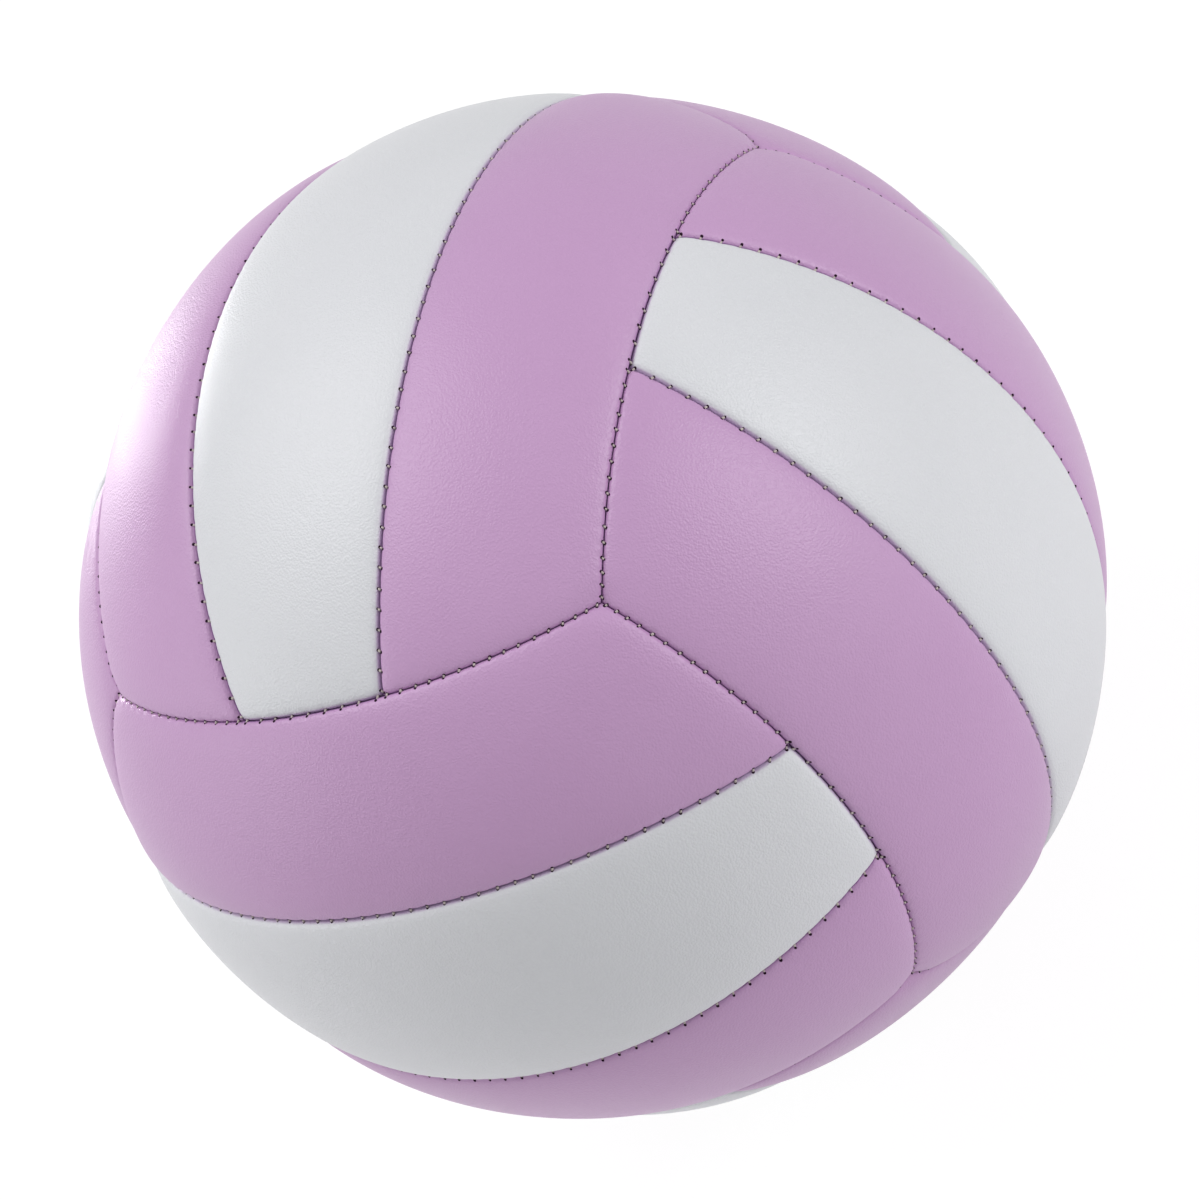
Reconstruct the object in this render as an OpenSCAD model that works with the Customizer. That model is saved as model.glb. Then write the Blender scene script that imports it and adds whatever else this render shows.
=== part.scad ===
// Sewn volleyball with eighteen padded panels, a rubber bladder and a needle valve.
// Each of the six faces holds three strips: a white centre panel between two lilac side panels.
// The ball's centre is the origin. The top face's strips run along Y, the right face's along Z
// and the back face's along X. The valve is in the middle of the back face, on the Y axis.

/* [Ball] */
// Diameter over the crowns of the panels
ball_d = 210; // [200:1:220]
// Width of a centre panel at its middle, measured along the surface
centre_panel_w = 54.5; // [48:0.5:60]
// Width of a side panel at its middle, measured along the surface
side_panel_w = 44; // [40:0.5:48]

/* [Panel layers] */
// Thickness of the outer skin
skin_t = 1.2; // [0.8:0.1:1.6]
// Thickness of the foam backing
foam_t = 2.8; // [1.5:0.1:4]
// Thickness of the cloth lining
lining_t = 0.5; // [0.3:0.1:0.9]
// Radius of the rolled edge along a strip's long sides
edge_r = 2.4; // [2.2:0.1:3]

/* [Seams] */
// Gap between the turned-in skins of two panels
seam_gap = 0.2; // [0.1:0.05:0.4]
// Diameter of the sewing thread
thread_d = 0.8; // [0.6:0.1:0.9]

/* [Bladder] */
// Wall of the rubber bladder
bladder_t = 0.6; // [0.4:0.1:1.2]

/* [Valve] */
// Diameter of the seat's nipple, which fills the hole in the cover
nipple_d = 9; // [8.5:0.1:10]
// Diameter of the seat's flange, which is bonded inside the bladder
flange_d = 36; // [28:1:46]
// Thickness of the seat's flange
flange_t = 1.2; // [0.8:0.1:2]
// Outer diameter of the seat's tube
tube_d = 12; // [11:0.5:15]
// Length of the seat's tube inside the flange
tube_l = 14; // [12:0.5:20]
// Thickness of the floor at the tube's inner end
floor_t = 1.5; // [1:0.1:2.5]
// Diameter of the air hole in that floor
air_hole_d = 3; // [2:0.5:5]
// Diameter of the valve core's head
head_d = 7.4; // [6.6:0.1:7.6]
// Thickness of the valve core's head
head_t = 1.2; // [0.8:0.1:1.6]
// Diameter of the valve core's stem
stem_d = 5.6; // [4.8:0.1:6]
// Diameter of the bulb that holds the core in its seat
bulb_d = 8; // [7:0.1:9]
// Length of the bulb
bulb_l = 4.5; // [3.5:0.5:6]
// Diameter of the bore that guides the inflating needle
needle_d = 2.4; // [2:0.1:2.8]
// Depth of the needle's bore below the top of the core
needle_depth = 12; // [8:0.5:15]

/* [Hidden] */
// Each face: its name and its strips' names. Each of the last three lies opposite the one that
// stands three places before it.
FACES = [
    ["top", ["left", "centre", "right"]],
    ["right", ["front", "centre", "back"]],
    ["back", ["lower", "centre", "upper"]],
    ["bottom", ["left", "centre", "right"]],
    ["left", ["front", "centre", "back"]],
    ["front", ["lower", "centre", "upper"]]
];
STRIPS = [-1:1:1];
// The seams round a panel: its long ones, nearer the face's border and nearer its middle, then its
// ends
SEAMS = ["outer", "inner", "end", "far end"];
LAYERS = ["skin", "foam", "lining"];
VALVE_FACE = "back";
face_numbers = [0:1:len(FACES) - 1];
function node_name(face, strip, layer) =
    str(FACES[face][0], "_", FACES[face][1][strip + 1], "_", layer);

$fn = 96;

glue_gap = 0.1;     // film of glue between two layers
hole_play = 0.3;    // room around the nipple in the cover and the bladder
core_play = 0.05;   // room around the core in its seat
head_sink = 0.4;    // top of the core below the panel's crown
countersink = 0.6;  // widening of the needle bore's mouth, in radius and in depth
crease = 0.05;      // how far the top of a rolled edge's circle stands past the crown
thread_play = 0.05; // room between the thread and the rolled edges
overrun = 1;        // how far a cutting shape passes what it cuts
cut_rise = 4;       // how far the cuts at a panel's sides reach past the crown
margin = 3;         // degrees by which a cut runs past the ends of its seam
side_cut = 20;      // degrees that a cut at a long side is wide
end_cut = 25;       // degrees that a cut at an end is wide
half_face = 45;     // degrees from the middle of a face to its border
end_edge_share = 0.85;  // radius of the rolled edge at a strip's ends, to that of its sides
hollow_share = 0.5;     // how much of the cover's inner radius the cutting shapes leave out
thread_end_share = 1.5; // how far a thread stops before the next seam, in thread diameters
bulb_waist_share = 0.3; // where the bulb is widest, below its upper end

ball_r = ball_d / 2;
skin_in = ball_r - skin_t;
foam_out = skin_in - glue_gap;
foam_in = foam_out - foam_t;
lining_out = foam_in - glue_gap;
cover_in = lining_out - lining_t;
bladder_out = cover_in - glue_gap;
bladder_in = bladder_out - bladder_t;
flange_out = bladder_in - glue_gap;
flange_in = flange_out - flange_t;
tube_end = flange_in - tube_l;

// A panel's skin starts half the seam gap from the seam. The layers inside it start further in.
skin_off = seam_gap / 2;
cavity_off = skin_off + skin_t;
foam_off = cavity_off + glue_gap;

// Each layer of a panel, and the space in its skin for the other two: outer radius, inner radius,
// distance from the seams, how much smaller its rolled edge is than the skin's, chords in that edge
SKIN = [ball_r, cover_in, skin_off, 0, 2];
CAVITY = [skin_in, cover_in - overrun, cavity_off, skin_t, 1];
FOAM = [foam_out, foam_in, foam_off, skin_t + glue_gap, 1];
LINING = [lining_out, cover_in, foam_off, 0, 0];

// The corners of a cube lie at this share of the radius along each axis.
corner_share = 1 / sqrt(3);
// Angles on the sphere from the middle of a face to its two kinds of long seam
strip_angle = centre_panel_w / 2 / ball_r * 180 / PI;
edge_angle = strip_angle + side_panel_w / ball_r * 180 / PI;
// An edge seam is the circle through two cube corners and the point at edge_angle between them.
edge_tilt = atan((sin(edge_angle) - corner_share) / (cos(edge_angle) - corner_share));
edge_cone = acos((cos(edge_tilt) - sin(edge_tilt)) * corner_share);
// A strip seam is a great circle through the middles of the two faces that the strips run towards.
strip_tilt = strip_angle;
strip_cone = 90;

// Half the angle that each kind of seam turns through about its own axis
edge_sweep = asin(corner_share / sin(edge_cone));
end_reach_share = norm([cos(strip_angle) * cos(edge_tilt), sin(edge_tilt)]);
end_lean = atan2(sin(edge_tilt), cos(strip_angle) * cos(edge_tilt));
strip_sweep = acos(cos(edge_cone) / end_reach_share) - end_lean;

// Directions in the plane of a seam's axis: across the seam towards that axis, and outward. A place
// is given as distances in the two. keep is -1 for a panel on the side away from the axis, else 1.
function across(cone) = [-cos(cone), sin(cone)];
function outward(cone) = [sin(cone), cos(cone)];
function at(cone, keep, place) = keep * place[0] * across(cone) + place[1] * outward(cone);

// Centre of a rolled edge's circle of radius edge. Its top stands just past the crown.
end_edge_r = end_edge_share * edge_r;
function roll_side(edge) = skin_off + edge;
function roll_out(edge) = sqrt(pow(ball_r + crease, 2) - pow(roll_side(edge), 2)) - edge;

// How far out a thread lies that touches two rolled edges, but for its play
function thread_seat(edge) = roll_out(edge)
    + sqrt(pow(edge + thread_d / 2 + thread_play, 2) - pow(roll_side(edge), 2));
thread_out = max(thread_seat(edge_r), thread_seat(end_edge_r));

// Point i of the chords of a layer's rolled edge, from the panel's side to its crown
function rolled(edge, layer, i) = let (turn = i * 90 / layer[4], r = edge - layer[3])
    [roll_side(edge) - r * cos(turn), roll_out(edge) + r * sin(turn)];

// Outlines of what a layer leaves out next to a seam: all that is past its side, which is wide
// degrees wide, and what is above its rolled edge
module past_side(cone, keep, wide, layer) {
    near = hollow_share * cover_in;
    far = ball_r + cut_rise;
    polygon([
        at(cone, keep, [layer[2], near]),
        at(cone, keep, [layer[2], far]),
        far / cos(wide / 2) * outward(cone + keep * wide / 2),
        far * outward(cone + keep * wide),
        near * outward(cone + keep * wide)
    ]);
}

module past_edge(cone, keep, edge, layer) {
    chords = layer[4];
    low = 2 * rolled(edge, layer, 0) - rolled(edge, layer, 1);
    high = 2 * rolled(edge, layer, chords) - rolled(edge, layer, chords - 1);
    polygon([
        at(cone, keep, [low[0], high[1]]),
        at(cone, keep, low),
        for (i = [1:1:chords - 1]) at(cone, keep, rolled(edge, layer, i)),
        at(cone, keep, high)
    ]);
}

// Either outline turned about Z along a stretch of a seam circle that is centred on the X axis
module past_seam(cone, keep, sweep, wide, edge, layer, is_edge) rotate([0, 0, -sweep - margin])
    rotate_extrude(angle = 2 * (sweep + margin))
        if (is_edge) past_edge(cone, keep, edge, layer);
        else past_side(cone, keep, wide, layer);

// Turns a seam about Z into a seam of the top face: a long one on the side of +X, or the one at the
// strips' ends towards +Y. Half a turn takes either one to the other side.
module long_seam(tilt) rotate([0, 90 + tilt, 0]) rotate([0, 0, 180]) children();
module end_seam() rotate([edge_tilt, 0, 0]) rotate([0, 0, 90]) children();

// One of the cuts at a panel of the top face
module panel_cut(strip, layer, seam, is_edge)
    rotate([0, 0, seam == "far end" || (seam == "inner" && strip == 0) ? 180 : 0])
    if (seam == "end" || seam == "far end") end_seam()
        past_seam(edge_cone, 1, edge_sweep, end_cut, end_edge_r, layer, is_edge);
    else if (strip == 0) long_seam(strip_tilt)
        past_seam(strip_cone, -1, strip_sweep, side_cut, edge_r, layer, is_edge);
    else if (seam == "outer") long_seam(edge_tilt)
        past_seam(edge_cone, -1, edge_sweep, side_cut, edge_r, layer, is_edge);
    else long_seam(strip_tilt)
        past_seam(strip_cone, 1, strip_sweep, side_cut, edge_r, layer, is_edge);

// A patch of a layer's shell that covers a strip of the top face from one angle about Y to another
module patch(from, to, layer) {
    reach = 90 - edge_angle + margin;
    long = layer[0] / cos(reach) + overrun;
    rotate([-90, 0, 0]) rotate([0, 0, from - 90]) rotate_extrude(angle = to - from) intersection() {
        difference() {
            circle(r = layer[0]);
            circle(r = layer[1]);
        }
        polygon([[0, 0], long * outward(90 - reach), long * outward(90 + reach)]);
    }
}

// One layer of the top face's centre panel or of its side panel on +X, after some of its cuts.
// They are made one after another: first at all of its sides, then at its rolled edges.
module cut_panel(strip, layer, cuts)
    if (cuts < 1) patch(
        (strip == 0 ? -strip_angle : strip_angle) - margin,
        (strip == 0 ? strip_angle : half_face) + margin,
        layer
    );
    else difference() {
        cut_panel(strip, layer, cuts - 1);
        panel_cut(strip, layer, SEAMS[(cuts - 1) % len(SEAMS)], cuts > len(SEAMS));
    }

module panel(strip, layer) rotate([0, 0, strip < 0 ? 180 : 0])
    cut_panel(abs(strip), layer, (layer[4] > 0 ? 2 : 1) * len(SEAMS));

// Takes the top face to another one: over to the bottom for the last three, then by thirds of a turn
// about the cube's diagonal.
module to_face(face) rotate(a = face * 120, v = [1, 1, 1])
    rotate([face < len(FACES) / 2 ? 0 : 180, 0, 0]) children();

// Moves a panel of the top face to its own face, and cuts the valve's hole where that is its face.
module on_face(face, strip) to_face(face) difference() {
    children();
    if (FACES[face][0] == VALVE_FACE && strip == 0)
        cylinder(h = ball_r + overrun, d = nipple_d + 2 * hole_play);
}

// The skin is turned in at its edges, down to the lining's inner face.
module panel_skin(face, strip) color(strip == 0 ? "#DEE0E4" : "#C3A0C8") on_face(face, strip)
    difference() {
        panel(strip, SKIN);
        panel(strip, CAVITY);
    }

module panel_foam(face, strip) color("#F2EFE6") on_face(face, strip) panel(strip, FOAM);

module panel_lining(face, strip) color("#B9B6AE") on_face(face, strip) panel(strip, LINING);

// One length of thread in the groove of a seam circle about Z, centred on the X axis
module thread_arc(cone, sweep) {
    radius = thread_out * sin(cone);
    turn = sweep - thread_end_share * thread_d / radius * 180 / PI;
    rotate([0, 0, -turn]) rotate_extrude(angle = 2 * turn)
        translate(thread_out * outward(cone)) circle(d = thread_d);
}

// Both kinds of long seam of each face: these are all the seams there are.
module seam_thread() color("#C9C2CF")
    for (face = face_numbers) for (turn = [0, 180]) to_face(face) rotate([0, 0, turn]) {
        long_seam(strip_tilt) thread_arc(strip_cone, strip_sweep);
        long_seam(edge_tilt) thread_arc(edge_cone, edge_sweep);
    }

module bladder() color("#2B2B2D") difference() {
    sphere(r = bladder_out);
    sphere(r = bladder_in);
    valve_axis() cylinder(h = ball_r, d = nipple_d + 2 * hole_play);
}

// The valve is turned about Z, and its axis is then laid along +Y.
module valve_axis() rotate([-90, 0, 0]) children();

// Half of a disc's outline, from height low to height high
module disc(d, low, high) translate([0, low]) square([d / 2, high - low]);

// Half the outline of the core's head, stem and bulb, made play larger all round
module core_outline(play) {
    top = ball_r - head_sink;
    head_low = top - head_t - play;
    bulb_low = tube_end + floor_t + core_play;
    bulb_high = bulb_low + bulb_l;
    polygon([
        [0, top + (play > 0 ? overrun : 0)],
        [head_d / 2 + play, top + (play > 0 ? overrun : 0)],
        [head_d / 2 + play, head_low],
        [stem_d / 2 + play, head_low],
        [stem_d / 2 + play, bulb_high + play],
        [bulb_d / 2 + play, bulb_high - bulb_waist_share * bulb_l],
        [stem_d / 2 + play, bulb_low - play],
        [0, bulb_low - play]
    ]);
}

module valve_seat() color("#1E1E20") valve_axis() rotate_extrude() difference() {
    union() {
        intersection() {
            difference() {
                circle(r = flange_out);
                circle(r = flange_in);
            }
            disc(flange_d, flange_in - flange_t, flange_out + overrun);
        }
        disc(nipple_d, flange_in, ball_r - head_sink);
        disc(tube_d, tube_end, flange_in);
    }
    core_outline(core_play);
    disc(air_hole_d, tube_end - overrun, tube_end + floor_t + overrun);
}

module valve_core() color("#3A3A3D") valve_axis() rotate_extrude() difference() {
    top = ball_r - head_sink;
    core_outline(0);
    polygon([
        [0, top + overrun],
        [needle_d / 2 + countersink + overrun, top + overrun],
        [needle_d / 2, top - countersink],
        [needle_d / 2, top - needle_depth],
        [0, top - needle_depth]
    ]);
}

for (face = face_numbers) for (strip = STRIPS) {
    panel_skin(face, strip);
    panel_foam(face, strip);
    panel_lining(face, strip);
}
seam_thread();
bladder();
valve_seat();
valve_core();
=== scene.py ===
import math

import bpy
import numpy as np
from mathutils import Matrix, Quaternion, Vector


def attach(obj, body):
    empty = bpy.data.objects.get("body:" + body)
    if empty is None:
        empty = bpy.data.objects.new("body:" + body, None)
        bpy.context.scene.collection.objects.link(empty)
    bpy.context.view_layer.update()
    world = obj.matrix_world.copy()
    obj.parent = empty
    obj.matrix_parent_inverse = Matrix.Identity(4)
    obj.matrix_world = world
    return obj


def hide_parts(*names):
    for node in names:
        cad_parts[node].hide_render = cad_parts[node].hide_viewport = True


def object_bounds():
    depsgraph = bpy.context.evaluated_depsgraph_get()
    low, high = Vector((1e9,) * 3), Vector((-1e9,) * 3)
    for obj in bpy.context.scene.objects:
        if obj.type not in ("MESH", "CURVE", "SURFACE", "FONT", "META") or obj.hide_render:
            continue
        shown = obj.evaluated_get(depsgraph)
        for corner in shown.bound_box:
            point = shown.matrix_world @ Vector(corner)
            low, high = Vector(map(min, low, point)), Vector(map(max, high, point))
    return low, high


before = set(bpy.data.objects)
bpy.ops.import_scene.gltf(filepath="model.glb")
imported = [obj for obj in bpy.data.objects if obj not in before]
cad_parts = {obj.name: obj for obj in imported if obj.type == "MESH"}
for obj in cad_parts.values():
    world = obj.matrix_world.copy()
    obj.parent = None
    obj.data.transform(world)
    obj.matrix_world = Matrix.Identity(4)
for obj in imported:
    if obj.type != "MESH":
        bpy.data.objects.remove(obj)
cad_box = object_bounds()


# The photograph's view: a long lens from above one corner of the top face. The picture is turned,
# so that the ball's own vertical points to its upper left.
view_azimuth = math.radians(44.05)
view_elevation = math.radians(35.53)
view_roll = math.radians(-39.77)
view_distance = 1.442
towards_camera = Vector((
    math.sin(view_azimuth) * math.cos(view_elevation),
    -math.cos(view_azimuth) * math.cos(view_elevation),
    math.sin(view_elevation),
))
camera_data = bpy.data.cameras.new("camera")
camera_data.lens = 211.06
camera_data.sensor_width = 36
camera_data.shift_x = 0.0047
camera_data.shift_y = 0.0045
camera_data.clip_end = 50
camera = bpy.data.objects.new("camera", camera_data)
camera.location = towards_camera * view_distance
camera.rotation_mode = "QUATERNION"
camera.rotation_quaternion = (-towards_camera).to_track_quat("-Z", "Y") @ Quaternion((0, 0, 1), view_roll)
bpy.context.scene.collection.objects.link(camera)
bpy.context.scene.camera = camera


# The studio: a white floor and white surroundings, a wide lamp overhead, a lamp on either side and a
# small one behind the left rim. The camera and reflections see the surroundings as plain white.
def add_node(tree, kind, links=None, **settings):
    """Adds a node. links gives its inputs by name or number, each a value or another node's output."""
    new = tree.nodes.new(kind)
    for name, value in settings.items():
        setattr(new, name, value)
    for name, value in (links or {}).items():
        if isinstance(value, bpy.types.NodeSocket):
            tree.links.new(value, new.inputs[name])
        else:
            new.inputs[name].default_value = value
    return new


def linear(hex_colour):
    """An sRGB hex colour as linear red, green, blue and alpha."""
    parts = [int(hex_colour[i:i + 2], 16) / 255 for i in (1, 3, 5)]
    return [c / 12.92 if c <= 0.04045 else ((c + 0.055) / 1.055) ** 2.4 for c in parts] + [1]


world = bpy.data.worlds.new("white surroundings")
bpy.context.scene.world = world
world.use_nodes = True
sky = world.node_tree
sky.nodes.clear()
rays = add_node(sky, "ShaderNodeLightPath")
seen = add_node(sky, "ShaderNodeMath", {0: rays.outputs["Is Camera Ray"], 1: rays.outputs["Is Glossy Ray"]},
                operation="MAXIMUM")
seen = add_node(sky, "ShaderNodeMath", {0: seen.outputs[0], 1: rays.outputs["Is Transmission Ray"]},
                operation="MAXIMUM")
lighting = add_node(sky, "ShaderNodeBackground", {"Color": linear("#FFFFFF"), "Strength": 0.23})
backdrop = add_node(sky, "ShaderNodeBackground", {"Color": linear("#FFFFFF"), "Strength": 1})
either = add_node(sky, "ShaderNodeMixShader",
                  {0: seen.outputs[0], 1: lighting.outputs[0], 2: backdrop.outputs[0]})
add_node(sky, "ShaderNodeOutputWorld", {"Surface": either.outputs[0]})

# The blown-up panels crown 0.3 mm past the smooth ball that the solids give.
floor_height = cad_box[0][2] - 0.0003
floor_half = 6
floor_mesh = bpy.data.meshes.new("floor")
floor_corners = [(-1, -1), (1, -1), (1, 1), (-1, 1)]
floor_mesh.from_pydata([(x * floor_half, y * floor_half, floor_height) for x, y in floor_corners],
                       [], [(0, 1, 2, 3)])
floor = bpy.data.objects.new("floor", floor_mesh)
bpy.context.scene.collection.objects.link(floor)
# Most of what the camera sees of the paint is a plain white glow. The rest is lit, and so keeps a
# faint shadow under the ball.
floor_paint = bpy.data.materials.new("matt white studio floor")
floor_paint.use_nodes = True
tree = floor_paint.node_tree
tree.nodes.clear()
rays = add_node(tree, "ShaderNodeLightPath")
seen = add_node(tree, "ShaderNodeMath", {0: rays.outputs["Is Camera Ray"], 1: rays.outputs["Is Glossy Ray"]},
                operation="MAXIMUM")
share = add_node(tree, "ShaderNodeMath", {0: seen.outputs[0], 1: 0.85}, operation="MULTIPLY")
painted = add_node(tree, "ShaderNodeBsdfDiffuse", {"Color": linear("#F4F4F4")})
glow = add_node(tree, "ShaderNodeEmission", {"Color": linear("#FFFFFF"), "Strength": 1.1})
either = add_node(tree, "ShaderNodeMixShader",
                  {0: share.outputs[0], 1: painted.outputs[0], 2: glow.outputs[0]})
add_node(tree, "ShaderNodeOutputMaterial", {"Surface": either.outputs[0]})
floor_mesh.materials.append(floor_paint)

# Lamps: place and size in metres, power in watts
for name, place, size, power in (
    ("overhead lamp", (-0.39, -0.13, 1.24), 1.0, 9.3),
    ("right lamp", (1.22, 0.13, 0.45), 0.8, 7.5),
    ("left lamp", (-0.99, -0.73, 0.46), 0.8, 3.0),
    ("lamp behind the left rim", (-1.14, 0.61, 0.05), 0.28, 3.4),
):
    lamp_data = bpy.data.lights.new(name, "AREA")
    lamp_data.shape = "DISK"
    lamp_data.size = size
    lamp_data.energy = power
    lamp = bpy.data.objects.new(name, lamp_data)
    lamp.location = place
    lamp.rotation_mode = "QUATERNION"
    lamp.rotation_quaternion = (-Vector(place)).to_track_quat("-Z", "Y")
    lamp.visible_camera = False
    bpy.context.scene.collection.objects.link(lamp)

bpy.context.scene.view_settings.view_transform = "Standard"


# Bladder: a butyl rubber balloon that holds the air, dipped and cured. It lies under the lining and
# shows only as the dark bottom of the seams.
butyl = bpy.data.materials.new("cured butyl rubber")
butyl.use_nodes = True
tree = butyl.node_tree
shader = tree.nodes["Principled BSDF"]
shader.inputs["Roughness"].default_value = 0.7
shader.inputs["IOR"].default_value = 1.52
place = add_node(tree, "ShaderNodeTexCoord").outputs["Object"]
# Talc rubbed on against sticking leaves cloudy patches about 20 mm across.
clouds = add_node(tree, "ShaderNodeTexNoise", {"Vector": place, "Scale": 50, "Detail": 4})
tint = add_node(tree, "ShaderNodeMix", {0: clouds.outputs[0], 6: linear("#242426"), 7: linear("#3A3A3C")},
                data_type="RGBA")
tree.links.new(tint.outputs[2], shader.inputs["Base Color"])
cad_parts["bladder"].data.materials.clear()
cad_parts["bladder"].data.materials.append(butyl)


# Lining: a layer of polyester and cotton cloth glued behind each panel's foam, so that the cover
# keeps its size under pressure. Cut to the panel less the turned-in edge.
ball_r = 105.0
cover_in = 100.3          # inner radius of the lining and of the skins' turned-in edges
lining_out = 100.8
lining_rows = (14, 40)    # points of the mesh across and along a panel
turned_in = 1.4           # from a seam to the foam and the lining, which leave the turned-in edge free
centre_width = 54.5       # of a white panel
side_width = 44           # of a lilac panel
valve_hole_r = 4.8        # through the white panel of the back face
valve_panel = ("back", 0)
# The strip seams are great circles about the face's long axis, strip_angle from its middle. The seam
# between two faces is a circle through two corners of the cube, edge_cone about an axis that leans
# by edge_tilt, and it bows in as far as the side panel's width leaves it.
strip_angle = centre_width / 2 / ball_r
edge_angle = strip_angle + side_width / ball_r
corner_share = 1 / math.sqrt(3)
edge_tilt = math.atan((math.sin(edge_angle) - corner_share) / (math.cos(edge_angle) - corner_share))
edge_cone = math.acos((math.cos(edge_tilt) - math.sin(edge_tilt)) * corner_share)
# Each face by the third turns and half turns that bring the top face to it, and its panels' names
faces = {
    "top": (0, 0, ("left", "centre", "right")),
    "bottom": (0, 1, ("left", "centre", "right")),
    "right": (1, 0, ("front", "centre", "back")),
    "left": (1, 1, ("front", "centre", "back")),
    "back": (2, 0, ("lower", "centre", "upper")),
    "front": (2, 1, ("lower", "centre", "upper")),
}


def face_turn(face):
    """The matrix that takes the top face to this one: half turns about X, then third turns."""
    thirds, halves, _ = faces[face]
    turn = np.diag([1.0, -1.0, -1.0]) if halves else np.eye(3)
    for _ in range(thirds):
        turn = np.array([[0, 0, 1], [1, 0, 0], [0, 1, 0]]) @ turn
    return turn


def panel_directions(strip, inset, across, along):
    """Unit vectors over a panel of the top face, inset mm inside its seams. across runs from 0 to 1
    towards +X and along from -1 to 1 towards +Y."""
    inset = inset / ball_r
    crosswise, lengthwise = np.meshgrid(across, along, indexing="ij")
    climb = np.zeros_like(crosswise)
    end = math.cos(edge_cone - inset)
    # Each side's place depends on the other's, so both are found together in small steps.
    for _ in range(40):
        strip_line = np.arcsin(math.sin(inset) / np.cos(climb))
        if strip == 0:
            high = strip_angle - strip_line
            low = -high
        else:
            low = strip_angle + strip_line
            high = edge_tilt + np.arcsin(math.cos(edge_cone + inset) / np.cos(climb))
        tilt = low + crosswise * (high - low)
        reach = np.hypot(math.cos(edge_tilt) * np.cos(tilt), math.sin(edge_tilt))
        lean = np.arctan2(math.sin(edge_tilt), math.cos(edge_tilt) * np.cos(tilt))
        climb = lengthwise * (np.arccos(end / reach) - lean)
    grid = np.stack([np.cos(climb) * np.sin(tilt), np.sin(climb), np.cos(climb) * np.cos(tilt)], axis=-1)
    return grid * [-1, -1, 1] if strip < 0 else grid


def loop_of(ids):
    """The outer ring of a grid of vertex numbers, once round."""
    return np.concatenate([ids[:-1, 0], ids[-1, :-1], ids[:0:-1, -1], ids[0, :0:-1]])


def quads_of(ids):
    """The faces of a grid of vertex numbers."""
    return np.stack([ids[:-1, :-1], ids[1:, :-1], ids[1:, 1:], ids[:-1, 1:]], axis=-1).reshape(-1, 4)


def quads_between(ring, inner):
    """The faces between two rings of as many vertices."""
    return np.stack([ring, inner, np.roll(inner, -1), np.roll(ring, -1)], axis=-1)


def make_piece(name, places, polygons, material):
    """An object from places in mm and a list of arrays of polygons."""
    mesh = bpy.data.meshes.new(name)
    mesh.from_pydata((places / 1000).tolist(), [], [list(p) for group in polygons for p in group.tolist()])
    mesh.polygons.foreach_set("use_smooth", [True] * len(mesh.polygons))
    mesh.materials.append(material)
    mesh.update()
    piece = bpy.data.objects.new(name, mesh)
    bpy.context.scene.collection.objects.link(piece)
    return piece


def add_attribute(piece, name, values):
    """A number for each vertex, which the piece's material reads."""
    attribute = piece.data.attributes.new(name, "FLOAT", "POINT")
    attribute.data.foreach_set("value", np.asarray(values, dtype=np.float32))


def cut_valve_hole(piece):
    """Cuts a round hole along +Y through a layer of the panel over the valve."""
    ring = np.radians(np.arange(0, 360, 7.5))
    across, up = valve_hole_r * np.cos(ring), valve_hole_r * np.sin(ring)
    below, above = cover_in - 5, ball_r + 5
    places = np.concatenate([np.stack([across, np.full(len(ring), y), up], axis=-1) for y in (below, above)])
    ids = np.arange(len(ring))
    punch = make_piece("punch", places, [ids[None], (ids + len(ring))[None, ::-1],
                                         quads_between(ids + len(ring), ids)], piece.data.materials[0])
    cut = piece.modifiers.new("hole", "BOOLEAN")
    cut.operation = "DIFFERENCE"
    cut.solver = "EXACT"
    cut.object = punch
    mesh = bpy.data.meshes.new_from_object(piece.evaluated_get(bpy.context.evaluated_depsgraph_get()))
    piece.modifiers.clear()
    piece.data = mesh
    bpy.data.objects.remove(punch)


def layer_block(face, strip, outer, inner, rows, name, material):
    """A closed block for a layer under the skin. outer gives its outer radius over a grid of
    directions, inner is its inner radius, and rows are the grid's points across and along."""
    across = np.linspace(0, 1, rows[0])
    along = np.linspace(-1, 1, rows[1])
    grid = panel_directions(strip, turned_in, across, along)
    turn = face_turn(face)
    top = grid * outer(grid)[..., None]
    low = grid * inner
    places = np.concatenate([top.reshape(-1, 3), low.reshape(-1, 3)]) @ turn.T
    ids = np.arange(grid.shape[0] * grid.shape[1]).reshape(grid.shape[:2])
    under = ids + ids.size
    flip = [3, 2, 1, 0]
    piece = make_piece(name, places, [quads_of(ids), quads_of(under)[:, flip],
                                      quads_between(loop_of(ids), loop_of(under))], material)
    middle = grid.reshape(-1, 3)
    width = np.arctan2(middle[:, 0], middle[:, 2]) * ball_r
    length = np.arcsin(middle[:, 1]) * ball_r
    add_attribute(piece, "across_mm", np.tile(width, 2))
    add_attribute(piece, "along_mm", np.tile(length, 2))
    if (face, strip) == valve_panel:
        cut_valve_hole(piece)
    return piece


cloth = bpy.data.materials.new("plain-woven polyester and cotton lining")
cloth.use_nodes = True
tree = cloth.node_tree
shader = tree.nodes["Principled BSDF"]
shader.inputs["Roughness"].default_value = 0.92
shader.inputs["Sheen Weight"].default_value = 0.25
width = add_node(tree, "ShaderNodeAttribute", attribute_name="across_mm").outputs["Fac"]
length = add_node(tree, "ShaderNodeAttribute", attribute_name="along_mm").outputs["Fac"]
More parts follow.
